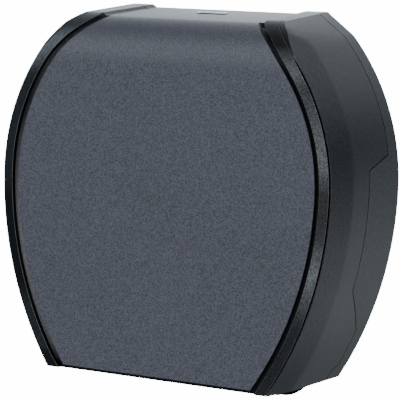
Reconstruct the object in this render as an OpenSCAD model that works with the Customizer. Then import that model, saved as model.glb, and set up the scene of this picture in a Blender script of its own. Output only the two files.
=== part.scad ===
// Jumbo toilet roll dispenser for one 230 mm roll.
// Origin: where the roll's axis meets the wall. +X right, +Z up, -Y out from the wall.
// "Forward" distances run from the wall towards the room, so forward = -Y.
// "Offset" distances run outwards from the front panel's curved edge, seen from the front.

/* [Front outline] */
// Half width of the front panel at its widest height
panel_half_w = 139; // [132:0.5:150]
// Height of the widest level above the roll's axis
wide_z = 10; // [0:1:20]
// Radius of the side edges below the widest level
lower_r = 293.5; // [260:0.5:330]
// Radius of the side edges above the widest level
upper_r = 166.5; // [158:0.5:185]
// Drop from the roll's axis to the panel's lower edge
panel_drop = 154; // [148:1:165]
// Lip of the cover that shows below the panel
bottom_lip = 3; // [2:0.5:5]

/* [Side outline] */
// Forward distance from the wall to the panel's face
body_depth = 114; // [112:1:130]
// Radius of the brow, where the front turns into the top
brow_r = 41; // [32:1:46]
// Height above the roll's axis where the brow starts
brow_z = 106; // [98:1:110]
// Sweep of the brow before it meets the top at a crease
brow_angle = 74; // [68:1:80]
// Rise of the top towards the wall, in degrees
top_slope = 5; // [3:0.5:8]
// Forward distance of the crease along each side wall
flare_f = 83; // [75:1:95]
// How far the side walls flare out between the front and that crease
flare_front = 5.5; // [3:0.5:9]
// How far the side walls flare out between the front and the wall
flare_back = 11.5; // [10:0.5:16]
// Distance over which that crease is rounded off, to each side
flare_soft = 2.5; // [1:0.5:6]
// Fall of the corner facets beside the top, in degrees
facet_angle = 37; // [32:1:42]

/* [Walls] */
// Wall of the cover and of the rear housing
wall = 3; // [2.5:0.5:4]
// Thickness of the front panel
panel_t = 2.5; // [2:0.5:3]
// Width of the ledge that carries the panel's edge
ledge_w = 10; // [8:1:14]

/* [Bands] */
// Channel between the panel and a band
band_gap = 5.1; // [3.5:0.1:6]
// Width of a band
band_w = 8.4; // [7:0.2:11]
// Height of the bands above the panel
band_proud = 2.4; // [1.5:0.1:3.5]
// Gap between a band and the cover's lip beside it
band_step = 0.5; // [0.3:0.1:1]
// Width of that lip at its foot
lip_w = 1.5; // [1.2:0.1:2]
// Height of the slanted foot of a band
band_foot = 12; // [8:1:16]
// Width of the sloping side of a rim, beside the panel's top
rim_slope_w = 3.2; // [2:0.2:4]
// Turn of the rims towards each other on their way to the wall, in degrees
rim_turn = 2; // [1:0.25:2]

/* [Parting line] */
// Forward distance of the parting line between cover and rear housing
seam_f = 17.6; // [16:0.2:20]
// Gap at the parting line
seam_gap = 1; // [0.6:0.1:1.5]
// Forward reach of the side cheeks of the rear housing
cheek_f = 55; // [45:1:65]
// Top of a cheek at the parting line
cheek_top_z = 39.5; // [30:0.5:50]
// Drop of a cheek's top edge towards its front
cheek_top_fall = 11.5; // [8:0.5:16]
// Bottom of a cheek at the parting line
cheek_low_z = -112; // [-116:1:-100]
// Rise of a cheek's lower edge towards its front
cheek_low_rise = 40; // [25:1:45]
// Radius of a cheek's front corners
cheek_r = 5; // [3:0.5:8]

/* [Cover hinge] */
// Radius of a hinge pin
pin_r = 2.5; // [2:0.25:3]
// Height of the hinge axis above the cover's lower edge
hinge_rise = 5; // [4.5:0.5:6]
// Radius of the hinge ears
ear_r = 7; // [6.5:0.5:8]
// Thickness of a hinge lug on the rear housing
lug_t = 4; // [3:0.5:5]
// Thickness of a hinge arm on the cover
arm_t = 5; // [4:0.5:6]
// Length of a hinge arm's foot on the cover's floor
arm_foot = 24; // [18:1:26]

/* [Paper exit] */
// Half width of the opening in the underside
exit_half_w = 84; // [70:1:88]
// Distance from the panel's back to the front end of a tear bar
tear_set = 14.5; // [12:0.5:20]
// How far a tear bar hangs below the cover
tear_drop = 5.8; // [4:0.1:6.5]
// Thickness of a tear bar
tear_t = 2; // [1.5:0.5:3]
// Pitch of the tear bar's teeth
tooth_pitch = 3.5; // [3:0.5:5]
// Depth of the teeth
tooth_h = 1.8; // [1:0.1:2.2]

/* [Roll spindle] */
// Radius of the spindle that the core hub turns on
spindle_r = 11; // [9:0.5:13]
// Running clearance between spindle and hub
run_gap = 0.05; // [0.02:0.01:0.09]
// Radius of the core hub's drum
drum_r = 27.5; // [24:0.5:30]
// Radius of the core hub's rear flange
hub_flange_r = 45; // [38:1:52]
// Radius of the spindle's foot
foot_r = 32; // [29:1:36]
// Radius of the circle of the foot's screws
foot_screw_pcr = 24; // [21:1:27]
// Thickness of the spindle's foot
foot_t = 3; // [3:0.5:5]
// Radius of the hub's retaining washer
washer_r = 15; // [14:0.5:18]

/* [Lock] */
// Forward distance of the lock's axis
lock_f = 32; // [30:0.5:34]
// Length of the oval lock bezel
bezel_len = 28; // [28:1:32]
// Width of the oval lock bezel
bezel_w = 11; // [10:0.5:13]
// Depth of the bezel's recess
bezel_recess = 1.5; // [1:0.1:1.8]
// Radius of the lock plug's key face
plug_r = 3.6; // [3:0.1:4]
// Width of the key slot
key_w = 1.6; // [1.2:0.1:2]
// Radius of the lock barrel
barrel_r = 7.5; // [7:0.5:8]
// Length of the lock barrel
barrel_len = 12; // [10:1:15]
// Radius of the strike pin that the cam hooks behind
strike_r = 2.5; // [2:0.25:3]

/* [Wall fixing] */
// Sideways spacing of the wall screw holes
fix_dx = 150; // [130:5:170]
// Upright spacing of the wall screw holes
fix_dz = 170; // [150:5:180]
// Radius of the wall screw holes
fix_r = 3; // [2.5:0.25:3.5]

/* [Hidden] */

big = 400;                 // larger than the dispenser, for trimming blocks
arc_fn = 240;              // facets of the large arcs
round_fn = 64;             // facets of small round pieces
clear = 0.3;               // gap between pieces that move past each other
seat = 0.1;                // gap round a screw or peg in its hole
band_total = band_gap + band_w + band_step + lip_w;
bottom_z = -panel_drop - bottom_lip;
shelf_f = body_depth - panel_t;
brow_y = -body_depth + brow_r;
crease_y = -body_depth + brow_r * (1 - cos(brow_angle));
crease_z = brow_z + brow_r * sin(brow_angle);
rim_out_x = half_w(crease_z, band_total);
rim_in_x = half_w(crease_z, band_gap);
rim_foot_x = rim_in_x - rim_slope_w - 0.4; // foot of a rim's sloping side, at the crease
panel_room_x = half_w(crease_z, 0) + clear;
hinge_y = -seam_f;
hinge_z = bottom_z + hinge_rise;

// Half width of the outline at height z, for an offset from the panel's edge
function half_w(z, off) =
    let (r = z > wide_z ? upper_r : lower_r)
    panel_half_w - r + sqrt(pow(r + off, 2) - pow(z - wide_z, 2));

// Height of the panel's top face at a forward distance
function top_z(f) = crease_z + (-f - crease_y) * tan(top_slope);

// Offset of the side wall's outer face at a forward distance, with a sharp crease
function side_line(f) =
    band_total + (f < flare_f
        ? flare_back + (flare_front - flare_back) * f / flare_f
        : flare_front * (shelf_f - f) / (shelf_f - flare_f));

// The same with the crease rounded off
function side_off(f) =
    let (t = (f - flare_f + flare_soft) / (2 * flare_soft))
    t <= 0 || t >= 1 ? side_line(f)
        : pow(1 - t, 2) * side_line(flare_f - flare_soft) + 2 * t * (1 - t) * side_line(flare_f)
            + pow(t, 2) * side_line(flare_f + flare_soft);

// ---------- Shared outlines ----------

// Front view of a piece whose edge lies a constant offset from the panel's edge
module front_outline(off) {
    for (part = [[upper_r, wide_z, crease_z], [lower_r, -big, wide_z]])
        intersection() {
            translate([panel_half_w - part[0], wide_z]) circle(r = part[0] + off, $fn = arc_fn);
            translate([part[0] - panel_half_w, wide_z]) circle(r = part[0] + off, $fn = arc_fn);
            translate([-big, part[1]]) square([2 * big, part[2] - part[1]]);
        }
    top_half_w = half_w(crease_z, off);
    translate([-top_half_w, crease_z]) square([2 * top_half_w, big]);
}

// Side view of the front, brow and top, grown outwards from the panel's face
module side_outline(grow) {
    intersection() {
        union() {
            translate([brow_y, brow_z]) circle(r = brow_r + grow, $fn = arc_fn);
            translate([-body_depth - grow, -big]) square([body_depth + grow, big + brow_z]);
            translate([brow_y, -big]) square([-brow_y, 2 * big]);
        }
        translate([crease_y, crease_z]) rotate(top_slope)
            translate([-big, grow - 2 * big]) square([2 * big, 2 * big]);
    }
}

// Everything inside the front outline, through the whole depth
module front_prism(off) {
    rotate([90, 0, 0]) linear_extrude(big, center = true) front_outline(off);
}

// Everything under the front, brow and top
module side_prism(grow) {
    rotate([90, 0, 90]) linear_extrude(2 * big, center = true) side_outline(grow);
}

// A sheet that follows the front, brow and top between two levels
module skin(inner, outer) {
    difference() {
        side_prism(outer);
        side_prism(inner);
    }
}

// Barrel-shaped body with flared side walls: pts are [offset, forward] pairs
module barrel(pts) {
    for (part = [[upper_r, wide_z], [lower_r, wide_z - big]])
        intersection() {
            side_revolve(part[0], pts);
            mirror([1, 0, 0]) side_revolve(part[0], pts);
            translate([-big, -big, part[1]]) cube([2 * big, 2 * big, big]);
        }
}

module side_revolve(r, pts) {
    translate([panel_half_w - r, 0, wide_z])
        rotate([90, 0, 0])
            rotate_extrude($fn = arc_fn)
                polygon(concat([[0, pts[0][1]]], [for (p = pts) [r + p[0], p[1]]],
                    [[0, pts[len(pts) - 1][1]]]));
}

// Side wall faces of the body, inset by a wall, between two forward distances
function wall_pts(inset, f0, f1) = concat(
    [[side_off(f0) - inset, f0]],
    [for (i = [-2 : 2]) let (f = flare_f + i * flare_soft / 2)
        if (f > f0 && f < f1) [side_off(f) - inset, f]],
    [[side_off(f1) - inset, f1]]);

// Blocks beyond the corner facets, drawn in by an inset
module facet_cut(inset) {
    for (side = [0, 1])
        mirror([side, 0, 0])
            translate([rim_out_x, 0, top_z(0) + band_proud])
                rotate([top_slope, 0, 0])
                    rotate([0, facet_angle, 0])
                        translate([-big, -big, -inset]) cube([2 * big, 2 * big, big]);
}

// Side view of a cheek with rounded front corners, grown by a gap
module cheek_outline(grow) {
    offset(r = cheek_r + grow, $fn = round_fn) offset(delta = -cheek_r)
        polygon([
            [0, cheek_top_z],
            [-seam_f, cheek_top_z],
            [-cheek_f, cheek_top_z - cheek_top_fall],
            [-cheek_f, cheek_low_z + cheek_low_rise],
            [-seam_f, cheek_low_z],
            [0, cheek_low_z]
        ]);
}

// Side view of everything behind the parting line, moved forward by a gap
module rear_side(gap) {
    translate([-seam_f - gap, -big]) square([seam_f + gap, 2 * big]);
    cheek_outline(gap);
    translate([hinge_y, hinge_z]) circle(r = ear_r + gap + seam_gap / 2, $fn = round_fn);
}

module rear_prism(gap) {
    rotate([90, 0, 90]) linear_extrude(2 * big, center = true) rear_side(gap);
}

// Lays pieces along an axis that runs forward from the wall
module forward(f) {
    translate([0, -f, 0]) rotate([90, 0, 0]) children();
}

// Places pieces on the top face, with z = 0 on the panel's outer face
module on_top(f) {
    translate([0, -f, top_z(f)]) rotate([top_slope, 0, 0]) children();
}

// Room between the rims: above the panel's face, out to their sloping sides
module rim_room(right_only = false) {
    for (side = right_only ? [0] : [0, 1])
        mirror([side, 0, 0])
            on_top(-crease_y) rotate(rim_turn) rotate([90, 0, 0]) translate([0, 0, -big])
                linear_extrude(big + 5)
                    polygon([
                        [-rim_in_x / 2, 0], [rim_foot_x, 0], [rim_foot_x + rim_slope_w, band_proud],
                        [rim_foot_x + rim_slope_w + 3, 3 * band_proud], [-rim_in_x / 2, 3 * band_proud]
                    ]);
}

// Room for the panel's top between the rims, above a level, with its rear end at a forward distance
module panel_room(level, f) {
    on_top(f) translate([-panel_room_x, -big, level]) cube([2 * panel_room_x, big, 4 * lap_drop]);
}

// Upright oval with flat ends' centres along X
module oval(length, width, height) {
    linear_extrude(height) {
        for (side = [-1, 1])
            translate([side * (length - width) / 2, 0]) circle(d = width, $fn = round_fn);
        square([length - width, width], center = true);
    }
}

// Everything above a height
module above(z) {
    translate([-big, -big, z]) cube(2 * big);
}

// Pan-head screw that points up: z = 0 at the head's seat, shank above it
module screw(head_r, head_h, shank_r, length) {
    translate([0, 0, -head_h]) cylinder(r1 = head_r * 0.8, r2 = head_r, h = head_h, $fn = round_fn);
    cylinder(r = shank_r, h = length, $fn = round_fn);
}

// ---------- Rear housing ----------

pad_f = 2 * wall;                       // face of the pad under the spindle's foot
lap_f = seam_f / 2;                     // where the panel's lap over the housing ends
lap_drop = panel_t + clear;             // housing's top below the panel's face
arm_x = exit_half_w + 5;                // inner face of a hinge arm
lug_x = arm_x + arm_t + 0.5;            // inner face of a hinge lug
pin_head_t = 1.2;
fix_boss_r = 8;
fix_boss_h = 2;
rib_count = 6;
rib_w = 2;
rib_len = 70;
rib_f = pad_f - 1;                      // top of the ribs

module rear_housing() {
    color([0.13, 0.14, 0.15])
    difference() {
        union() {
            housing_shell();
            forward(0) cylinder(r = foot_r + 2, h = pad_f, $fn = round_fn);
            for (i = [0 : rib_count - 1])
                rotate([0, i * 360 / rib_count, 0])
                    translate([foot_r, -rib_f, -rib_w / 2]) cube([rib_len, rib_f - 1, rib_w]);
            for (sx = [-1, 1], sz = [-1, 1])
                translate([sx * fix_dx / 2, 0, sz * fix_dz / 2])
                    forward(0) cylinder(r = fix_boss_r, h = wall + fix_boss_h, $fn = round_fn);
            for (side = [0, 1])
                mirror([side, 0, 0]) hinge_lug();
        }
        for (sx = [-1, 1], sz = [-1, 1])
            translate([sx * fix_dx / 2, 0, sz * fix_dz / 2])
                forward(-1) cylinder(r = fix_r, h = 3 * wall, $fn = round_fn);
        spindle_screw_places() translate([0, 0, 1])
            cylinder(r = foot_screw_r + seat, h = pad_f, $fn = round_fn);
        strike_screw_places() translate([0, 0, -1])
            cylinder(r = strike_screw_r + seat, h = strike_screw_len + seat + 1, $fn = round_fn);
        for (side = [0, 1])
            mirror([side, 0, 0]) hinge_bore();
    }
}

module housing_shell() {
    difference() {
        intersection() {
            barrel(wall_pts(0, 0, cheek_f + 5));
            rear_prism(-seam_gap / 2);
            side_prism(band_proud);
            above(bottom_z);
        }
        facet_cut(0);
        // room for the panel's top, which laps over the housing's top wall
        panel_room(-lap_drop, lap_f - clear);
        // between the rims the back edge stands level with the panel
        rim_room();
        // cavity
        difference() {
            intersection() {
                barrel(wall_pts(wall, wall, cheek_f + 10));
                side_prism(-lap_drop - wall);
                above(bottom_z + wall);
            }
            facet_cut(wall);
        }
        // notches that let the cover's hinge arms turn
        for (side = [0, 1])
            mirror([side, 0, 0])
                translate([arm_x - pin_head_t - 0.5, -big, bottom_z - 1])
                    cube([lug_x - arm_x + pin_head_t + 0.25, big - seam_f + hinge_rise + 1.5, 2 * hinge_rise]);
    }
}

// Lug on the housing's floor that carries a hinge pin
module hinge_lug() {
    intersection() {
        translate([lug_x, 0, 0]) rotate([90, 0, 90]) linear_extrude(lug_t) {
            translate([hinge_y, hinge_z]) circle(r = ear_r, $fn = round_fn);
            translate([hinge_y, bottom_z]) square([-hinge_y, hinge_rise + ear_r]);
        }
        above(bottom_z);
    }
}

// ---------- Cover ----------

floor_rear_f = seam_f + ear_r + 2;      // rear end of the cover's floor
window_rear_f = lock_f + 20;            // rear end of the window in the cover's top
peg_r = 1.5;
peg_len = wall + 2.5;
peg_heights = [-135, -60, 20, 95];
band_screw_r = 1.4;
band_screw_heights = [-125, 10, 85];
band_screw_off = band_gap + 3.5;
tear_len = shelf_f - tear_set - floor_rear_f - 2;
tear_f = floor_rear_f + 2 + tear_len / 2;  // middle of a tear bar

module cover_shell() {
    color([0.15, 0.16, 0.17])
    difference() {
        intersection() {
            barrel(wall_pts(0, 5, body_depth));
            side_prism(band_proud);
            above(bottom_z);
        }
        facet_cut(0);
        rear_prism(seam_gap / 2);
        // ledge for the panel and the bands, inside the lip
        difference() {
            front_prism(band_total - lip_w);
            side_prism(-panel_t);
        }
        // cavity, down to the floor and past the floor's rear end
        difference() {
            intersection() {
                barrel(wall_pts(wall, 0, shelf_f - wall));
                side_prism(-panel_t - wall);
                union() {
                    above(bottom_z + wall);
                    translate([-big, -floor_rear_f, -big]) cube(2 * big);
                }
            }
            facet_cut(wall);
        }
        // window behind the panel
        intersection() {
            front_prism(-ledge_w);
            above(-panel_drop + ledge_w);
            translate([-big, -big - window_rear_f, -big]) cube([2 * big, big, 2 * big]);
        }
        // paper exit
        translate([-exit_half_w, -shelf_f + 2 * wall, bottom_z - 1])
            cube([2 * exit_half_w, shelf_f, 3 * wall]);
        panel_peg_places() cylinder(r = peg_r + seat, h = 3 * wall, center = true, $fn = round_fn);
        band_screw_places() cylinder(r = band_screw_r + seat, h = 4 * wall, center = true, $fn = round_fn);
        for (side = [0, 1])
            mirror([side, 0, 0]) {
                arm_screw_places()
                    cylinder(r = arm_screw_r + seat, h = 3 * wall, center = true, $fn = round_fn);
                tear_screw_places()
                    cylinder(r = tear_screw_r + seat, h = 3 * wall, center = true, $fn = round_fn);
            }
        lock_hole();
    }
}

// Panel pegs point back into the cover, z = 0 at the panel's back face
module panel_peg_places() {
    for (side = [-1, 1], z = peg_heights)
        translate([side * half_w(z, -ledge_w / 2), -shelf_f, z]) rotate([-90, 0, 0]) children();
}

// Band screws point forward, z = 0 at the back of the ledge
module band_screw_places() {
    for (side = [-1, 1], z = band_screw_heights)
        translate([side * half_w(z, band_screw_off), -shelf_f + wall, z]) rotate([90, 0, 0]) children();
}

module front_panel() {
    color([0.31, 0.33, 0.37])
    difference() {
        union() {
            intersection() {
                front_prism(0);
                skin(-panel_t, 0);
                above(-panel_drop);
                translate([-big, -2 * big - lap_f, -big]) cube(2 * big);
            }
            panel_peg_places() translate([0, 0, -panel_t / 2])
                cylinder(r = peg_r, h = panel_t / 2 + peg_len, $fn = round_fn);
        }
        lock_hole();
    }
}

module panel_clips() {
    color([0.6, 0.6, 0.62])
    panel_peg_places()
        translate([0, 0, wall])
            difference() {
                cylinder(r = 4, h = 0.8, $fn = round_fn);
                translate([0, 0, -1]) cylinder(r = peg_r + seat / 2, h = 3, $fn = round_fn);
            }
}

module band() {
    difference() {
        intersection() {
            front_prism(band_gap + band_w);
            skin(-panel_t, band_proud);
            above(bottom_z);
            translate([0, -2 * big - seam_f - seam_gap / 2, -big]) cube(2 * big);
        }
        // channel beside the panel, as far as the crease
        intersection() {
            front_prism(band_gap);
            on_top(-crease_y) translate([-big, 0.01 - 2 * big, -big]) cube(2 * big);
        }
        // past the crease the band reaches the panel and becomes a rim with a sloping side
        front_prism(clear);
        rim_room(right_only = true);
        // slanted foot
        translate([0, -body_depth - band_proud, bottom_z + band_foot]) rotate([band_foot_angle, 0, 0])
            translate([-1, -10, -2 * band_foot]) cube([big, 10, 2 * band_foot]);
        band_screw_places() cylinder(r = band_screw_r + seat, h = band_screw_len + seat, $fn = round_fn);
    }
}

band_screw_len = wall + panel_t + 1;
band_foot_angle = 7;

module right_band() {
    color([0.1, 0.1, 0.1]) band();
}

module left_band() {
    color([0.1, 0.1, 0.1]) mirror([1, 0, 0]) band();
}

module band_screws() {
    color([0.6, 0.6, 0.62])
    band_screw_places() screw(2.6, 1.6, band_screw_r, band_screw_len);
}

// ---------- Cover hinge ----------

arm_foot_h = 4;
arm_screw_r = 1.5;
pin_len = lug_x - arm_x + lug_t + 0.4;

module hinge_bore() {
    translate([0, hinge_y, hinge_z]) rotate([0, 90, 0])
        translate([0, 0, arm_x - 1]) cylinder(r = pin_r + run_gap, h = arm_t + lug_t + 3, $fn = round_fn);
}

module hinge_arm() {
    difference() {
        union() {
            translate([arm_x, 0, 0]) rotate([90, 0, 90]) linear_extrude(arm_t) {
                translate([hinge_y, hinge_z]) circle(r = hinge_rise, $fn = round_fn);
                translate([-floor_rear_f - arm_foot, bottom_z + wall])
                    square([arm_foot + floor_rear_f - seam_f, arm_foot_h]);
                polygon([
                    [hinge_y - 1, hinge_z + hinge_rise - 0.1],
                    [hinge_y - 1, bottom_z + wall],
                    [-floor_rear_f - arm_foot / 2, bottom_z + wall + arm_foot_h - 1]
                ]);
            }
            translate([arm_x - 4, -floor_rear_f - arm_foot, bottom_z + wall])
                cube([arm_t + 12, arm_foot, 2]);
        }
        hinge_bore();
        arm_screw_places() cylinder(r = arm_screw_r + seat, h = 6 * wall, center = true, $fn = round_fn);
    }
}

// Arm screws point down into the cover's floor, z = 0 on the arm's foot
module arm_screw_places() {
    for (y = [0.25, 0.75])
        translate([arm_x + arm_t + 4, -floor_rear_f - arm_foot * y, bottom_z + wall + 2])
            rotate([180, 0, 0]) children();
}

module right_hinge_arm() {
    color([0.2, 0.2, 0.21]) hinge_arm();
}

module left_hinge_arm() {
    color([0.2, 0.2, 0.21]) mirror([1, 0, 0]) hinge_arm();
}

module hinge_arm_screws() {
    color([0.6, 0.6, 0.62])
    for (side = [0, 1])
        mirror([side, 0, 0]) arm_screw_places() screw(2.8, 1.6, arm_screw_r, wall + 1);
}

module hinge_pin() {
    translate([arm_x, hinge_y, hinge_z]) rotate([0, 90, 0]) {
        cylinder(r = pin_r, h = pin_len, $fn = round_fn);
        translate([0, 0, -pin_head_t]) cylinder(r = pin_r + 1.5, h = pin_head_t, $fn = round_fn);
    }
}

module right_hinge_pin() {
    color([0.7, 0.7, 0.72]) hinge_pin();
}

module left_hinge_pin() {
    color([0.7, 0.7, 0.72]) mirror([1, 0, 0]) hinge_pin();
}

// ---------- Tear bars ----------

tear_plate_t = 1.5;
tear_plate_w = 9;
tear_x = half_w(bottom_z, side_off(tear_f + tear_len / 2)) - tear_t - 1.5;
tear_arc_r = (pow(tear_len / 2, 2) + pow(tear_drop, 2)) / (2 * tear_drop);
tear_screw_r = 1.4;

module tear_bar() {
    tooth_count = floor((tear_len - 8) / tooth_pitch / 2);
    difference() {
        union() {
            translate([tear_x, -tear_f, bottom_z - tear_drop])
                rotate([90, 0, 90]) linear_extrude(tear_t)
                    difference() {
                        intersection() {
                            translate([0, tear_arc_r]) circle(r = tear_arc_r, $fn = arc_fn);
                            translate([-tear_len / 2, 0]) square([tear_len, tear_drop]);
                        }
                        for (i = [-tooth_count : tooth_count])
                            translate([0, tear_arc_r]) rotate(i * tooth_pitch / tear_arc_r * 180 / PI)
                                translate([0, -tear_arc_r])
                                    polygon([
                                        [-tooth_pitch / 2, -0.5], [tooth_pitch / 2, -0.5], [0, tooth_h]
                                    ]);
                    }
            translate([tear_x - tear_plate_w, -tear_f - tear_len / 2, bottom_z - tear_plate_t])
                cube([tear_plate_w + tear_t, tear_len, tear_plate_t]);
        }
        tear_screw_places() cylinder(r = tear_screw_r + seat, h = 4 * wall, center = true, $fn = round_fn);
    }
}

// Tear bar screws point up in front of the hinge arm's foot, z = 0 at the lower face of the bar's plate
module tear_screw_places() {
    front_f = shelf_f - tear_set - 7;
    rear_f = floor_rear_f + arm_foot + 4.5;
    for (i = [0 : 2])
        translate([tear_x - tear_plate_w / 2, -rear_f - (front_f - rear_f) * i / 2, bottom_z - tear_plate_t])
            children();
}

module right_tear_bar() {
    color([0.08, 0.08, 0.08]) tear_bar();
}

module left_tear_bar() {
    color([0.08, 0.08, 0.08]) mirror([1, 0, 0]) tear_bar();
}

module tear_bar_screws() {
    color([0.6, 0.6, 0.62])
    for (side = [0, 1])
        mirror([side, 0, 0]) tear_screw_places() screw(2.4, 1.4, tear_screw_r, wall + tear_plate_t + 2);
}

// ---------- Roll spindle ----------

disc_t = 2.2;
hub_f = pad_f + foot_t + disc_t + 0.1;  // back of the core hub
hub_flange_t = 2.5;
roll_w = shelf_f - hub_f - hub_flange_t - 7.7;  // widest roll, 7.7 mm short of the panel's back
hub_len = roll_w - 11;
hub_wall = 2.5;
sleeve_r = spindle_r + 3;
nose_len = 7;
neck_r = spindle_r - 4;
foot_screw_r = 2;
foot_screw_head_h = 1.8;
thrust_t = 1;
spring_len = 6;
spring_wire = 1.2;
spring_turns = 4;
hub_washer_t = 1.5;
hub_end_f = hub_f + hub_len;
thrust_f = hub_end_f + 0.1;
spring_f = thrust_f + thrust_t;
hub_washer_f = spring_f + spring_len;
hub_screw_r = 2.5;
hub_screw_len = 14;
finger_len = 29.5;                      // sprung fingers of the hub
finger_w = 11;
finger_slot = 1.6;
finger_end = 4.5;                       // hub left whole past a finger's slots

module spindle() {
    color([0.25, 0.26, 0.27])
    difference() {
        forward(pad_f) rotate_extrude($fn = round_fn) polygon([
            [0, 0], [foot_r, 0], [foot_r, foot_t - 1], [foot_r - 1, foot_t],
            [spindle_r, foot_t], [spindle_r, hub_end_f - pad_f - clear],
            [neck_r, hub_end_f - pad_f - clear], [neck_r, hub_washer_f - pad_f], [0, hub_washer_f - pad_f]
        ]);
        spindle_screw_places() cylinder(r = foot_screw_r + seat, h = 2 * pad_f + foot_t, $fn = round_fn);
        forward(hub_washer_f - hub_screw_len - 1) cylinder(r = hub_screw_r + seat, h = big, $fn = round_fn);
    }
}

// Foot screws point back to the wall, z = 0 one wall above the housing's back
module spindle_screw_places() {
    for (i = [0 : 2])
        rotate([0, 90 + i * 120, 0]) translate([foot_screw_pcr, 0, 0]) forward(0) children();
}

module spindle_screws() {
    color([0.6, 0.6, 0.62])
    spindle_screw_places()
        translate([0, 0, pad_f + foot_t]) mirror([0, 0, 1])
            screw(3.4, foot_screw_head_h, foot_screw_r, pad_f + foot_t - 1.5);
}

module friction_disc() {
    color([0.35, 0.33, 0.3])
    forward(pad_f + foot_t) difference() {
        cylinder(r = foot_screw_pcr - 4.5, h = disc_t, $fn = round_fn);
        translate([0, 0, -1]) cylinder(r = spindle_r + clear, h = disc_t + 2, $fn = round_fn);
    }
}

module core_hub() {
    color([0.82, 0.83, 0.84])
    difference() {
        forward(hub_f) {
            rotate_extrude($fn = arc_fn) {
                // sleeve that turns on the spindle
                translate([spindle_r + run_gap, 0]) square([sleeve_r - spindle_r - run_gap, hub_len]);
                // rear flange with a stiffening rim
                translate([sleeve_r - 1, 0]) square([hub_flange_r - sleeve_r + 1, hub_flange_t]);
                translate([hub_flange_r - 1.5, 0]) square([1.5, hub_flange_t + 0.8]);
                // drum with a tapered nose
                polygon([
                    [drum_r - hub_wall, 1], [drum_r, 1], [drum_r, hub_len - nose_len],
                    [drum_r - 3, hub_len], [sleeve_r - 1, hub_len], [sleeve_r - 1, hub_len - hub_wall],
                    [drum_r - 3 - hub_wall, hub_len - hub_wall],
                    [drum_r - hub_wall, hub_len - nose_len - 1]
                ]);
            }
            for (i = [0 : 5])
                rotate(i * 60)
                    translate([sleeve_r - 0.5, -hub_wall / 2, 1])
                        cube([drum_r - hub_wall - sleeve_r + 1, hub_wall, hub_len - 5]);
            // barbs that keep the core on
            for (i = [0 : 2])
                rotate(i * 120 + 30) translate([0, 4, 0]) rotate([90, 0, 0]) linear_extrude(8)
                    polygon([
                        [drum_r - 1, hub_len - nose_len - 12], [drum_r + 1.6, hub_len - nose_len - 3],
                        [drum_r + 1.6, hub_len - nose_len - 1.5], [drum_r - 1, hub_len - nose_len - 0.5]
                    ]);
        }
        // slots that free the fingers under the barbs
        forward(hub_f) for (i = [0 : 2])
            rotate(i * 120 + 30) {
                for (side = [-1, 1])
                    translate([sleeve_r + 2, (side * finger_w - finger_slot) / 2, hub_len - finger_end - finger_len])
                        cube([drum_r, finger_slot, finger_len]);
                translate([sleeve_r + 2, -(finger_w + finger_slot) / 2, hub_len - nose_len + 1])
                    cube([drum_r, finger_w + finger_slot, 1.5]);
            }
    }
}

module thrust_washer() {
    color([0.7, 0.7, 0.72])
    forward(thrust_f) difference() {
        cylinder(r = sleeve_r, h = thrust_t - 0.1, $fn = round_fn);
        translate([0, 0, -1]) cylinder(r = neck_r + seat, h = thrust_t + 2, $fn = round_fn);
    }
}

// Coil with round wire, from z = 0 to its full height
module coil(mean_r, wire_d, turns, height) {
    step_count = 24;
    sides = 8;
    last = turns * step_count;
    points = [
        for (i = [0 : last], k = [0 : sides - 1])
            let (turn = i * 360 / step_count, a = k * 360 / sides,
                 rr = mean_r + wire_d / 2 * cos(a))
            [rr * cos(turn), rr * sin(turn),
             wire_d / 2 + (height - wire_d) * i / last + wire_d / 2 * sin(a)]
    ];
    faces = concat(
        [[for (k = [0 : sides - 1]) k]],
        [for (i = [0 : last - 1], k = [0 : sides - 1])
            [i * sides + k, (i + 1) * sides + k,
             (i + 1) * sides + (k + 1) % sides, i * sides + (k + 1) % sides]],
        [[for (k = [sides - 1 : -1 : 0]) last * sides + k]]
    );
    polyhedron(points = points, faces = faces, convexity = 10);
}

module brake_spring() {
    color([0.75, 0.75, 0.78])
    forward(spring_f) coil(neck_r + 3, spring_wire, spring_turns, spring_len - 0.1);
}

module hub_washer() {
    color([0.7, 0.7, 0.72])
    forward(hub_washer_f) difference() {
        cylinder(r = washer_r, h = hub_washer_t, $fn = round_fn);
        translate([0, 0, -1]) cylinder(r = hub_screw_r + seat, h = 4, $fn = round_fn);
    }
}

module hub_screw() {
    color([0.6, 0.6, 0.62])
    forward(hub_washer_f + hub_washer_t) mirror([0, 0, 1])
        screw(5, 3, hub_screw_r, hub_screw_len);
}

// ---------- Lock ----------

lock_roof = panel_t + wall;             // depth of the cover's top at the lock
bezel_lip = 0.8;
barrel_flange_t = 2;
barrel_end = -lock_roof - barrel_len;
cam_t = 2.5;
cam_top = barrel_end - 0.4;
cam_hub_r = 6;
cam_arm_w = 4;
plug_body_r = 5;
tail_w = 5;
strike_f = seam_f - strike_r - 0.6;     // strike pin, just behind the parting line
strike_y = lock_f - strike_f;           // and that far behind the lock's axis
hook_in_r = strike_y + strike_r + 0.6;
hook_w = 4;
strike_roof = -lap_drop - wall;
strike_t = 2;
strike_len = 28;
stem_len = bezel_len - 3;               // the bezel's stem in the cover's top
stem_w = bezel_w - 2;
lock_screw_x = bezel_len / 2 - 4;
strike_screw_r = 1.4;
strike_screw_len = wall - 0.6;

// Hole in the cover's top and in the panel for the bezel's stem
module lock_hole() {
    on_top(lock_f) translate([0, 0, -10]) oval(stem_len + 2 * seat, stem_w + 2 * seat, 20);
}

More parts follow.
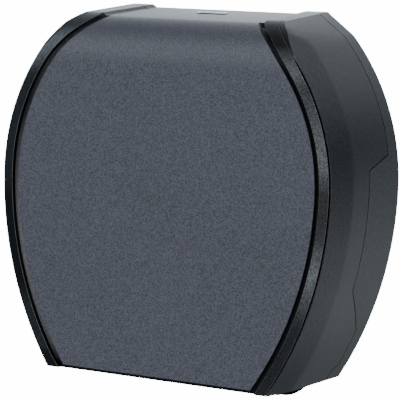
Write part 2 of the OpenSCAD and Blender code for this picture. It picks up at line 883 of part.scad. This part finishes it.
module lock_bezel() {
    color([0.3, 0.3, 0.31])
    on_top(lock_f) difference() {
        union() {
            oval(bezel_len, bezel_w, bezel_lip);
            translate([0, 0, -lock_roof]) oval(stem_len, stem_w, lock_roof + 0.1);
        }
        translate([0, 0, -bezel_recess]) oval(bezel_len - 5, bezel_w - 4.5, 5);
        translate([0, 0, -lock_roof - 1]) cylinder(r = plug_r + run_gap, h = 20, $fn = round_fn);
        for (side = [-1, 1])
            translate([side * lock_screw_x, 0, -lock_roof - 1])
                cylinder(r = 1.3, h = 3.8, $fn = round_fn);
    }
}

module lock_barrel() {
    color([0.5, 0.5, 0.5])
    on_top(lock_f) difference() {
        union() {
            translate([0, 0, -lock_roof - barrel_flange_t]) oval(bezel_len - 2, bezel_w - 1, barrel_flange_t);
            translate([0, 0, barrel_end]) cylinder(r = barrel_r, h = barrel_len, $fn = round_fn);
        }
        translate([0, 0, barrel_end - 1])
            cylinder(r = plug_body_r + run_gap, h = barrel_len + 2, $fn = round_fn);
        for (side = [-1, 1])
            translate([side * lock_screw_x, 0, -lock_roof - 5]) cylinder(r = 1.3, h = 10, $fn = round_fn);
    }
}

module lock_screws() {
    color([0.6, 0.6, 0.62])
    on_top(lock_f) for (side = [-1, 1])
        translate([side * lock_screw_x, 0, -lock_roof - barrel_flange_t])
            screw(2.3, 1.4, 1.2, barrel_flange_t + 2.6);
}

module lock_plug() {
    color([0.62, 0.62, 0.6])
    on_top(lock_f) difference() {
        union() {
            translate([0, 0, -lock_roof - 1])
                cylinder(r = plug_r, h = lock_roof + 1.4 - bezel_recess, $fn = round_fn);
            translate([0, 0, barrel_end - 0.2]) cylinder(r = plug_body_r, h = barrel_len, $fn = round_fn);
            translate([-tail_w / 2, -tail_w / 2, cam_top - cam_t - 0.2]) cube([tail_w, tail_w, cam_t + 1]);
        }
        translate([-key_w / 2, -plug_r + 0.8, -6]) cube([key_w, 2 * plug_r - 1.6, 10]);
        translate([0, 0, cam_top - cam_t - 1]) cylinder(r = 1.4, h = 8, $fn = round_fn);
    }
}

// The cam lies unlocked, its hook turned aside from the strike pin
module lock_cam() {
    color([0.7, 0.7, 0.72])
    on_top(lock_f) translate([0, 0, cam_top - cam_t]) difference() {
        linear_extrude(cam_t) rotate(90) {
            circle(r = cam_hub_r, $fn = round_fn);
            // arm beside the pin and hook behind it, drawn about the locked position and turned aside
            rotate(90 + 27) translate([0, -cam_arm_w / 2]) square([hook_in_r + hook_w - 0.5, cam_arm_w]);
            difference() {
                intersection() {
                    circle(r = hook_in_r + hook_w, $fn = arc_fn);
                    polygon([
                        [0, 0], big * [cos(76), sin(76)],
                        big * [cos(90), sin(90)], big * [cos(117), sin(117)]
                    ]);
                }
                circle(r = hook_in_r, $fn = arc_fn);
            }
        }
        translate([-tail_w / 2 - seat, -tail_w / 2 - seat, -1])
            cube([tail_w + 2 * seat, tail_w + 2 * seat, cam_t + 2]);
    }
}

module cam_screw() {
    color([0.6, 0.6, 0.62])
    on_top(lock_f) translate([0, 0, cam_top - cam_t - 0.2]) screw(4.5, 1.6, 1.3, 6);
}

// Strike: a plate under the housing's top wall with a pin that the cam hooks behind
module strike() {
    color([0.7, 0.7, 0.72])
    difference() {
        on_top(lock_f) {
            translate([-strike_len / 2, strike_y - strike_r, strike_roof - strike_t])
                cube([strike_len, 10, strike_t]);
            translate([0, strike_y, cam_top - cam_t - 0.5])
                cylinder(r = strike_r, h = strike_roof - strike_t / 2 - cam_top + cam_t + 0.5, $fn = round_fn);
        }
        strike_screw_places() translate([0, 0, -strike_t - 1])
            cylinder(r = strike_screw_r + seat, h = 10, $fn = round_fn);
    }
}

// Strike screws point up, z = 0 at the underside of the housing's top wall
module strike_screw_places() {
    on_top(lock_f) for (side = [-1, 1])
        translate([side * (strike_len / 2 - 4.5), strike_y + 3, strike_roof]) children();
}

module strike_screws() {
    color([0.6, 0.6, 0.62])
    strike_screw_places() translate([0, 0, -strike_t])
        screw(2.4, 1.4, strike_screw_r, strike_t + strike_screw_len);
}

rear_housing();
cover_shell();
front_panel();
left_band();
right_band();
panel_clips();
band_screws();
left_hinge_arm();
right_hinge_arm();
hinge_arm_screws();
left_hinge_pin();
right_hinge_pin();
left_tear_bar();
right_tear_bar();
tear_bar_screws();
spindle();
spindle_screws();
friction_disc();
core_hub();
thrust_washer();
brake_spring();
hub_washer();
hub_screw();
lock_bezel();
lock_barrel();
lock_screws();
lock_plug();
lock_cam();
cam_screw();
strike();
strike_screws();
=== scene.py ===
import math

import bmesh
import bpy
from mathutils import Matrix, Vector


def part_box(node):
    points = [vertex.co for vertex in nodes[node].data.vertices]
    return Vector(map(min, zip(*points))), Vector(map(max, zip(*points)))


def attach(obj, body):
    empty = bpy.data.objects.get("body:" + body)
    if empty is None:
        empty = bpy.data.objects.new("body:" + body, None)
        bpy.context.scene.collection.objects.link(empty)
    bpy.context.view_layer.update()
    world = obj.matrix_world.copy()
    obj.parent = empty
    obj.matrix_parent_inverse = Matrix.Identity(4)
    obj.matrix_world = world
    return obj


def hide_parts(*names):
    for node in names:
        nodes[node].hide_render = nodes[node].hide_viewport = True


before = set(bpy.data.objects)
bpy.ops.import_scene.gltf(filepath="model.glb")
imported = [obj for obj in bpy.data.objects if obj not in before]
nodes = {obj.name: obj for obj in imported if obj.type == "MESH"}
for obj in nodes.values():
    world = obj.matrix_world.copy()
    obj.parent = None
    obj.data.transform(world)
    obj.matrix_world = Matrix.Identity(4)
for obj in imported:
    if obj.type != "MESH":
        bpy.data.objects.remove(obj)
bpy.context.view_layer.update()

# ---------------------------------------------------------------- camera
# The dispenser is seen from the right and a little from above, with a long lens and a slight roll.
azimuth, elevation, roll = (math.radians(a) for a in (27.23, 6.10, 2.10))
aim = Vector((0.0, -0.057, 0.0))
distance = 1.71
out = Vector((
    math.sin(azimuth) * math.cos(elevation),
    -math.cos(azimuth) * math.cos(elevation),
    math.sin(elevation),
))
level_right = Vector((math.cos(azimuth), math.sin(azimuth), 0.0))
level_up = out.cross(level_right)
right = level_right * math.cos(roll) + level_up * math.sin(roll)
up = level_up * math.cos(roll) - level_right * math.sin(roll)
lens = bpy.data.cameras.new("camera")
lens.lens, lens.sensor_width = 180.0, 36.0
lens.shift_x, lens.shift_y = 0.01955, -0.02678
lens.clip_end = 400.0
camera = bpy.data.objects.new("camera", lens)
bpy.context.scene.collection.objects.link(camera)
stance = Matrix((right, up, out)).transposed().to_4x4()
camera.matrix_world = Matrix.Translation(aim + out * distance) @ stance
bpy.context.scene.camera = camera

# ---------------------------------------------------------------- studio
# A plain white floor, far below and too wide to end in view, that shows white and throws no light
# back. The light is a faint glow with soft round patches: a wide one in front, strong ones in front
# and behind on the left, small ones behind on the right, and weak ones beside and below.
white_level = 14.0
floor_half, floor_z = 150.0, -1.1
mesh = bpy.data.meshes.new("floor")
bm = bmesh.new()
bmesh.ops.create_grid(bm, x_segments=1, y_segments=1, size=floor_half)
bmesh.ops.translate(bm, verts=bm.verts, vec=(0.0, 0.0, floor_z))
bm.to_mesh(mesh)
bm.free()
floor = bpy.data.objects.new("floor", mesh)
bpy.context.scene.collection.objects.link(floor)
pale = bpy.data.materials.new("pale_floor")
pale.use_nodes = True
shader = pale.node_tree.nodes["Principled BSDF"]
shader.inputs["Base Color"].default_value = (0.9, 0.9, 0.9, 1.0)
shader.inputs["Emission Color"].default_value = (1.0, 1.0, 1.0, 1.0)
shader.inputs["Emission Strength"].default_value = white_level
floor.data.materials.append(pale)
floor.visible_diffuse = False
floor.visible_glossy = False

world = bpy.data.worlds.new("studio")
world.use_nodes = True
sky = world.node_tree
sky.nodes.clear()
sky_out = sky.nodes.new("ShaderNodeOutputWorld")
direction = sky.nodes.new("ShaderNodeTexCoord").outputs["Generated"]


def sky_math(operation, a, b):
    """The sum or product of two numbers or sockets."""
    node = sky.nodes.new("ShaderNodeMath")
    node.operation = operation
    for socket, value in zip(node.inputs, (a, b)):
        if isinstance(value, (int, float)):
            socket.default_value = value
        else:
            sky.links.new(value, socket)
    return node.outputs[0]


def patch(az, el, inner, outer):
    """1 within inner degrees of a direction, falling softly to 0 at outer degrees."""
    a, e = math.radians(az), math.radians(el)
    dot = sky.nodes.new("ShaderNodeVectorMath")
    dot.operation = "DOT_PRODUCT"
    sky.links.new(direction, dot.inputs[0])
    dot.inputs[1].default_value = (math.sin(a) * math.cos(e), -math.cos(a) * math.cos(e), math.sin(e))
    ramp = sky.nodes.new("ShaderNodeMapRange")
    ramp.interpolation_type = "SMOOTHSTEP"
    sky.links.new(dot.outputs["Value"], ramp.inputs["Value"])
    ramp.inputs["From Min"].default_value = math.cos(math.radians(outer))
    ramp.inputs["From Max"].default_value = math.cos(math.radians(inner))
    return ramp.outputs["Result"]


# Strength, azimuth (0 is the room side, 90 the right), elevation, inner and outer radius in degrees.
glow = 0.07
for strength, *place in (
    (0.83, 0, -5, 25, 95),
    (1.94, -25, 32, 12, 34),
    (0.74, -27, 68, 8, 32),
    (1.18, 206, 62, 8, 34),
    (2.57, 208, 12, 14, 38),
    (0.61, 159, 23, 3, 14),
    (0.70, 145, 48, 6, 30),
    (0.50, 140, 20, 3, 12),
    (0.33, 136, -12, 3, 13),
    (0.84, 141, -24, 3, 13),
    (0.15, 149, -34, 4, 15),
    (0.30, 152, -10, 3, 12),
    (0.34, 157, -21, 3, 12),
    (0.30, 172, -12, 8, 36),
    (0.40, 75, 10, 15, 60),
    (0.60, -27, -55, 10, 45),
    (0.12, -90, 0, 20, 60),
):
    glow = sky_math("ADD", sky_math("MULTIPLY", patch(*place), strength), glow)
lit = sky.nodes.new("ShaderNodeBackground")
lit.inputs["Color"].default_value = (0.90, 0.98, 1.05, 1.0)
sky.links.new(glow, lit.inputs["Strength"])
seen = sky.nodes.new("ShaderNodeBackground")
seen.inputs["Strength"].default_value = white_level
which = sky.nodes.new("ShaderNodeMixShader")
sky.links.new(sky.nodes.new("ShaderNodeLightPath").outputs["Is Camera Ray"], which.inputs["Fac"])
sky.links.new(lit.outputs[0], which.inputs[1])
sky.links.new(seen.outputs[0], which.inputs[2])
sky.links.new(which.outputs[0], sky_out.inputs["Surface"])
bpy.context.scene.world = world

# ---------------------------------------------------------------- rear housing
# The back half that screws to the wall: dark green-grey moulded ABS with a fine spark-eroded grain.
# Its edges are broken by about half a millimetre, as the mould leaves them.


def plastic(name, dark, light, grain, rough, bump=0.05, blotch=0.25, blotch_size=0.05, specular=0.5):
    """Moulded plastic: two tones mixed by fine grain and broad cloudiness, the grain in relief."""
    made = bpy.data.materials.new(name)
    made.use_nodes = True
    tree = made.node_tree
    shader = tree.nodes["Principled BSDF"]
    place = tree.nodes.new("ShaderNodeTexCoord").outputs["Object"]
    fine = tree.nodes.new("ShaderNodeTexNoise")
    fine.inputs["Scale"].default_value = 1.0 / grain
    fine.inputs["Detail"].default_value = 2.0
    tree.links.new(place, fine.inputs["Vector"])
    broad = tree.nodes.new("ShaderNodeTexNoise")
    broad.inputs["Scale"].default_value = 1.0 / blotch_size
    broad.inputs["Detail"].default_value = 3.0
    tree.links.new(place, broad.inputs["Vector"])
    share = tree.nodes.new("ShaderNodeMix")
    share.inputs["Factor"].default_value = blotch
    tree.links.new(fine.outputs["Fac"], share.inputs["A"])
    tree.links.new(broad.outputs["Fac"], share.inputs["B"])
    tones = tree.nodes.new("ShaderNodeValToRGB")
    tones.color_ramp.elements[0].position, tones.color_ramp.elements[1].position = 0.38, 0.62
    tones.color_ramp.elements[0].color = (*dark, 1.0)
    tones.color_ramp.elements[1].color = (*light, 1.0)
    tree.links.new(share.outputs["Result"], tones.inputs["Fac"])
    tree.links.new(tones.outputs["Color"], shader.inputs["Base Color"])
    gloss = tree.nodes.new("ShaderNodeMapRange")
    gloss.inputs["To Min"].default_value = rough - 0.05
    gloss.inputs["To Max"].default_value = rough + 0.08
    tree.links.new(broad.outputs["Fac"], gloss.inputs["Value"])
    tree.links.new(gloss.outputs["Result"], shader.inputs["Roughness"])
    relief = tree.nodes.new("ShaderNodeBump")
    relief.inputs["Strength"].default_value = bump
    relief.inputs["Distance"].default_value = 0.0006
    tree.links.new(fine.outputs["Fac"], relief.inputs["Height"])
    tree.links.new(relief.outputs["Normal"], shader.inputs["Normal"])
    shader.inputs["Specular IOR Level"].default_value = specular
    return made


def softened(node, piece, body, finish, width=0.0005, steps=2, edge_painted_highlight=None):
    """A copy of a CAD node: flat faces joined, curves smooth, edges rounded and perhaps coated with a
    painted highlight.
    """
    sharp = math.radians(24)
    bm = bmesh.new()
    bm.from_mesh(nodes[node].data)
    bmesh.ops.remove_doubles(bm, verts=bm.verts, dist=2e-6)
    bmesh.ops.dissolve_limit(
        bm, angle_limit=math.radians(0.4), verts=bm.verts, edges=bm.edges, use_dissolve_boundaries=False
    )
    for face in bm.faces:
        face.smooth = True
    for edge in bm.edges:
        edge.smooth = edge.calc_face_angle(0.0) < sharp
    mesh = bpy.data.meshes.new(piece)
    bm.to_mesh(mesh)
    bm.free()
    made = bpy.data.objects.new(piece, mesh)
    bpy.context.scene.collection.objects.link(made)
    mesh.materials.clear()
    # A second slot holds the rounded edges' painted highlight, when one is given.
    for coat in (finish, edge_painted_highlight or finish):
        mesh.materials.append(coat)
    rounding = made.modifiers.new("rounded_edges", "BEVEL")
    rounding.limit_method = "ANGLE"
    rounding.angle_limit = sharp
    rounding.width = width
    rounding.segments = steps
    rounding.profile = 0.5
    rounding.use_clamp_overlap = True
    rounding.harden_normals = True
    rounding.miter_outer = "MITER_SHARP"
    rounding.material = 1 if edge_painted_highlight else -1
    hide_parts(node)
    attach(made, body)
    return made


def coat_faces(piece, coat, chosen):
    """Gives the faces that chosen(centre, normal) picks a coat of their own."""
    mesh = piece.data
    mesh.materials.append(coat)
    for face in mesh.polygons:
        if chosen(face.center, face.normal):
            face.material_index = len(mesh.materials) - 1


housing_plastic = plastic(
    "housing_plastic", (0.004, 0.005, 0.005), (0.058, 0.065, 0.071), 0.0011, 0.34,
    bump=0.5, blotch=0.1,
)
softened("rear_housing", "rear_housing_moulding", "housing", housing_plastic)

# ---------------------------------------------------------------- spindle and brake
# A dark nylon spindle on the housing's pad, held by three zinc-plated screws, with a pressed fibre
# disc behind the hub and a washer and coil spring in front that slow the roll.


def paint(node, finish):
    """Gives a CAD node its finish."""
    mesh = nodes[node].data
    mesh.materials.clear()
    mesh.materials.append(finish)


def metal(name, tone, rough, brush, turned=False):
    """Plated or bright metal: fine brush or turning lines in its colour, roughness and relief."""
    across, along = 12.0, 1.0
    made = bpy.data.materials.new(name)
    made.use_nodes = True
    tree = made.node_tree
    shader = tree.nodes["Principled BSDF"]
    place = tree.nodes.new("ShaderNodeTexCoord").outputs["Object"]
    stretch = tree.nodes.new("ShaderNodeMapping")
    scale = (along, across, along) if turned else (across, along, across)
    stretch.inputs["Scale"].default_value = scale
    tree.links.new(place, stretch.inputs["Vector"])
    lines = tree.nodes.new("ShaderNodeTexNoise")
    lines.inputs["Scale"].default_value = brush
    lines.inputs["Detail"].default_value = 4.0
    tree.links.new(stretch.outputs["Vector"], lines.inputs["Vector"])
    tones = tree.nodes.new("ShaderNodeValToRGB")
    tones.color_ramp.elements[0].position, tones.color_ramp.elements[1].position = 0.3, 0.7
    tones.color_ramp.elements[0].color = (*(0.72 * c for c in tone), 1.0)
    tones.color_ramp.elements[1].color = (*tone, 1.0)
    tree.links.new(lines.outputs["Fac"], tones.inputs["Fac"])
    tree.links.new(tones.outputs["Color"], shader.inputs["Base Color"])
    gloss = tree.nodes.new("ShaderNodeMapRange")
    gloss.inputs["To Min"].default_value = rough - 0.06
    gloss.inputs["To Max"].default_value = rough + 0.1
    tree.links.new(lines.outputs["Fac"], gloss.inputs["Value"])
    tree.links.new(gloss.outputs["Result"], shader.inputs["Roughness"])
    relief = tree.nodes.new("ShaderNodeBump")
    relief.inputs["Strength"].default_value = 0.08
    relief.inputs["Distance"].default_value = 0.0001
    tree.links.new(lines.outputs["Fac"], relief.inputs["Height"])
    tree.links.new(relief.outputs["Normal"], shader.inputs["Normal"])
    shader.inputs["Metallic"].default_value = 1.0
    return made


inner_plastic = plastic("inner_plastic", (0.045, 0.048, 0.052), (0.075, 0.08, 0.086), 0.0014, 0.55)
screw_steel = metal("screw_steel", (0.52, 0.52, 0.53), 0.32, 260.0)
bright_steel = metal("bright_steel", (0.58, 0.58, 0.60), 0.25, 220.0, turned=True)
spring_steel = metal("spring_steel", (0.48, 0.48, 0.50), 0.22, 500.0)
friction_fibre = plastic(
    "friction_fibre", (0.11, 0.085, 0.06), (0.24, 0.20, 0.15), 0.0006, 0.85,
    bump=0.5, blotch=0.4, blotch_size=0.006,
)
softened("spindle", "spindle_moulding", "housing", inner_plastic, 0.0004)
paint("spindle_screws", screw_steel)
paint("friction_disc", friction_fibre)
paint("thrust_washer", bright_steel)
paint("brake_spring", spring_steel)
paint("hub_washer", bright_steel)
paint("hub_screw", screw_steel)

# ---------------------------------------------------------------- core hub
# The pale acetal hub that the roll's core is pushed on to. It turns on the spindle; three sprung
# fingers end in barbs that keep the core from walking off.
hub_plastic = plastic(
    "hub_plastic", (0.52, 0.53, 0.53), (0.66, 0.66, 0.65), 0.0030, 0.42,
    blotch=0.5, blotch_size=0.03,
)
softened("core_hub", "core_hub_moulding", "hub", hub_plastic, 0.0004)

# ---------------------------------------------------------------- cover shell
# The hinged front half: the same dark green-grey grained ABS as the housing, a little cooler.
# Its crease and corners are soft, and a thin lip runs along the outside of each band.
cover_plastic = plastic(
    "cover_plastic", (0.001, 0.001, 0.001), (0.034, 0.040, 0.045), 0.0011, 0.30,
    bump=0.35, blotch=0.1, blotch_size=0.07,
)


def painted_light_by_height(name, stops, left_only=False):
    """Near-black plastic with painted reflections, light and shade that change with height: stops are
    (height, tone) pairs. With left_only the tones are kept to the left half, and the right half is
    painted black shade.
    """
    foot_z, head_z = -0.16, 0.16
    made = plastic(
        name, (0.45, 0.45, 0.45), (1.55, 1.55, 1.55), 0.0009, 0.30,
        bump=0.3, blotch=0.15, blotch_size=0.03, specular=0.08,
    )
    tree = made.node_tree
    shader = tree.nodes["Principled BSDF"]
    place = tree.nodes.new("ShaderNodeTexCoord").outputs["Object"]
    split = tree.nodes.new("ShaderNodeSeparateXYZ")
    tree.links.new(place, split.inputs["Vector"])
    height = tree.nodes.new("ShaderNodeMapRange")
    height.inputs["From Min"].default_value = foot_z
    height.inputs["From Max"].default_value = head_z
    tree.links.new(split.outputs["Z"], height.inputs["Value"])
    # Tones by height, painted into the colour: painted reflections, light and shade.
    tones = tree.nodes.new("ShaderNodeValToRGB")
    points = tones.color_ramp.elements
    places = [(z - foot_z) / (head_z - foot_z) for z, tone in stops]
    for share in places[1:-1]:
        points.new(share)
    for point, share, (z, tone) in zip(points, places, stops):
        point.position, point.color = share, (*tone, 1.0)
    tree.links.new(height.outputs["Result"], tones.inputs["Fac"])

    def times(first, second):
        """The product of two colours."""
        product = tree.nodes.new("ShaderNodeMix")
        product.data_type, product.blend_type = "RGBA", "MULTIPLY"
        product.inputs["Factor"].default_value = 1.0
        tree.links.new(first, product.inputs["A"])
        tree.links.new(second, product.inputs["B"])
        return product.outputs["Result"]

    colour = times(tones.outputs["Color"], shader.inputs["Base Color"].links[0].from_socket)
    # With left_only, the right half gets painted black shade.
    if left_only:
        left = tree.nodes.new("ShaderNodeMath")
        left.operation = "LESS_THAN"
        left.inputs[1].default_value = 0.0
        tree.links.new(split.outputs["X"], left.inputs[0])
        colour = times(colour, left.outputs[0])
    tree.links.new(colour, shader.inputs["Base Color"])
    return made


shell = softened("cover_shell", "cover_shell_moulding", "cover", cover_plastic)

# The ledge that carries the panel and the bands shows as the floor of the channel between them. Its
# colour is painted light and shade: painted grey light that changes with height on the left, painted
# black shade on the right and along its foot under the panel. Over the brow it follows an arc.
ledge_y, brow_y, brow_z, brow_r = -0.1115, -0.073, 0.106, 0.0385
faces_room = 0.2  # most that a face turned to the room may lean sideways
ledge_painted_light_and_shade = painted_light_by_height("ledge_painted_light_and_shade", (
    (-0.152, (0.002, 0.002, 0.002)), (-0.144, (0.040, 0.037, 0.036)), (-0.12, (0.115, 0.107, 0.108)),
    (-0.06, (0.160, 0.147, 0.150)), (-0.02, (0.130, 0.117, 0.121)), (0.03, (0.065, 0.062, 0.065)),
    (0.07, (0.022, 0.022, 0.024)), (0.11, (0.045, 0.045, 0.050)),
), left_only=True)


def on_ledge(centre, normal):
    """The flat of the ledge, and its arc over the brow."""
    roll_r = math.hypot(centre.y - brow_y, centre.z - brow_z)
    on_brow = centre.z > brow_z and abs(roll_r - brow_r) < 0.0004
    return abs(normal.x) < faces_room and (abs(centre.y - ledge_y) < 0.0003 or on_brow)


coat_faces(shell, ledge_painted_light_and_shade, on_ledge)

# ---------------------------------------------------------------- front panel
# A thin slate-grey sheet of grained ABS that wraps over the brow to the lock. Eight pegs with
# spring clips hold it in the cover's ledge.
panel_plastic = plastic(
    "panel_plastic", (0.016, 0.016, 0.021), (0.075, 0.075, 0.100), 0.0008, 0.40,
    bump=0.12, blotch=0.04, blotch_size=0.09,
)
softened("front_panel", "front_panel_sheet", "cover", panel_plastic, 0.0006)
paint("panel_clips", spring_steel)

# ---------------------------------------------------------------- side bands
# Raised near-black trims beside the panel, screwed on from inside. Their semi-gloss faces carry brown
# and grey painted reflections that change with height, and so does the cover's lip beside them over the
# brow.
left_painted_reflection = painted_light_by_height("left_band_painted_reflection", (
    (-0.146, (0.003, 0.003, 0.004)), (-0.139, (0.012, 0.015, 0.016)), (-0.105, (0.011, 0.014, 0.015)),
    (-0.085, (0.002, 0.003, 0.004)), (-0.014, (0.002, 0.003, 0.004)), (0.004, (0.009, 0.011, 0.013)),
    (0.093, (0.010, 0.013, 0.015)), (0.111, (0.072, 0.079, 0.089)), (0.126, (0.098, 0.110, 0.124)),
    (0.136, (0.030, 0.034, 0.039)),
))
right_painted_reflection = painted_light_by_height("right_band_painted_reflection", (
    (-0.098, (0.013, 0.014, 0.016)), (-0.076, (0.050, 0.052, 0.054)), (-0.052, (0.102, 0.108, 0.106)),
    (-0.022, (0.028, 0.027, 0.028)), (0.014, (0.026, 0.025, 0.026)), (0.034, (0.094, 0.096, 0.094)),
    (0.096, (0.043, 0.042, 0.042)), (0.109, (0.088, 0.086, 0.085)), (0.128, (0.003, 0.003, 0.004)),
    (0.16, (0.034, 0.032, 0.032)),
))
# The bands' rounded edges: a lighter coat, a painted highlight.
band_edge_painted_highlight = plastic(
    "band_edge_painted_highlight", (0.120, 0.120, 0.120), (0.280, 0.280, 0.280), 0.0008, 0.28, specular=0.3
)
# The bands' steep sides: painted black shade, with painted grey light on the left over the brow.
band_flank_painted_shade_and_light = painted_light_by_height("band_flank_painted_shade_and_light", (
    (0.13, (0.002, 0.002, 0.002)), (0.142, (0.080, 0.080, 0.084)),
), left_only=True)
lip_r, lip_foot_z = 0.0434, 0.118


def beside_band(centre, normal):
    """The cover's lip beside the bands, where it rolls over the brow."""
    roll_r = math.hypot(centre.y - brow_y, centre.z - brow_z)
    return centre.z > lip_foot_z and abs(normal.x) < faces_room and abs(roll_r - lip_r) < 0.0005


def on_flank(centre, normal):
    """A band's steep sides, beside its face."""
    return abs(normal.x) > 0.4 and abs(normal.y) < 0.3


# The cover's lip over the brow takes the bands' painted reflections.
coat_faces(shell, left_painted_reflection, lambda centre, normal: centre.x < 0.0 and beside_band(centre, normal))
coat_faces(shell, right_painted_reflection, lambda centre, normal: centre.x > 0.0 and beside_band(centre, normal))
# Each band: painted reflections on its face, a painted highlight on its rounded edges and painted shade
# on its sides.
for side, finish in (("left", left_painted_reflection), ("right", right_painted_reflection)):
    band = f"{side}_band"
    trim = softened(band, f"{band}_trim", "cover", finish, 0.0005, 3, edge_painted_highlight=band_edge_painted_highlight)
    coat_faces(trim, band_flank_painted_shade_and_light, on_flank)
paint("band_screws", screw_steel)

# ---------------------------------------------------------------- cover hinge
# Two dark nylon arms screwed to the cover's floor. They turn on zinc-plated pins in the housing's lugs.
for side in ("left", "right"):
    arm = f"{side}_hinge_arm"
    softened(arm, f"{arm}_moulding", "cover", inner_plastic, 0.0003)
    paint(f"{side}_hinge_pin", bright_steel)
paint("hinge_arm_screws", screw_steel)

# ---------------------------------------------------------------- tear bars
# Black glass-filled combs under the cover's side edges, each held by three screws from below.
tear_plastic = plastic(
    "tear_plastic", (0.0005, 0.0005, 0.0005), (0.0015, 0.0015, 0.0015), 0.0009, 0.6, specular=0.02
)
for side in ("left", "right"):
    bar = f"{side}_tear_bar"
    softened(bar, f"{bar}_comb", "cover", tear_plastic, 0.0002, 1)
paint("tear_bar_screws", screw_steel)

# ---------------------------------------------------------------- lock
# A nickel-plated bezel in the cover's top, with painted black shade on its recess's floor and outer
# wall and bright nickel on the inner wall, with a nickel-plated key plug. The plug turns a zinc-plated
# cam that hooks behind the strike pin in the housing.
lock_nickel = metal("lock_nickel", (0.86, 0.86, 0.85), 0.3, 420.0, turned=True)
# Painted black shade for the recess's floor and the bezel's outer wall.
recess_painted_shade = plastic(
    "recess_painted_shade", (0.002, 0.002, 0.002), (0.006, 0.006, 0.006), 0.0008, 0.6, specular=0.1
)
bezel = softened("lock_bezel", "lock_bezel_casting", "cover", lock_nickel, 0.00015)
lid_slope, recess_depth = math.radians(5.0), 0.0015
lid_normal = Vector((0.0, -math.sin(lid_slope), math.cos(lid_slope)))
lid_level = max(face.center.dot(lid_normal) for face in bezel.data.polygons)
low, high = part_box("lock_bezel")
bezel_middle = (Vector(low) + Vector(high)) / 2.0


def in_shade(centre, normal):
    """The recess's floor and the bezel's outer wall, but not the recess's bright inner wall."""
    lean = normal.dot(lid_normal)
    if abs(lean) > 0.5:
        return centre.dot(lid_normal) < lid_level - recess_depth
    return (centre - bezel_middle).dot(normal) > 0.0


coat_faces(bezel, recess_painted_shade, in_shade)
paint("lock_barrel", lock_nickel)
paint("lock_screws", screw_steel)
paint("lock_plug", lock_nickel)
paint("lock_cam", bright_steel)
paint("cam_screw", screw_steel)
paint("strike", bright_steel)
paint("strike_screws", screw_steel)
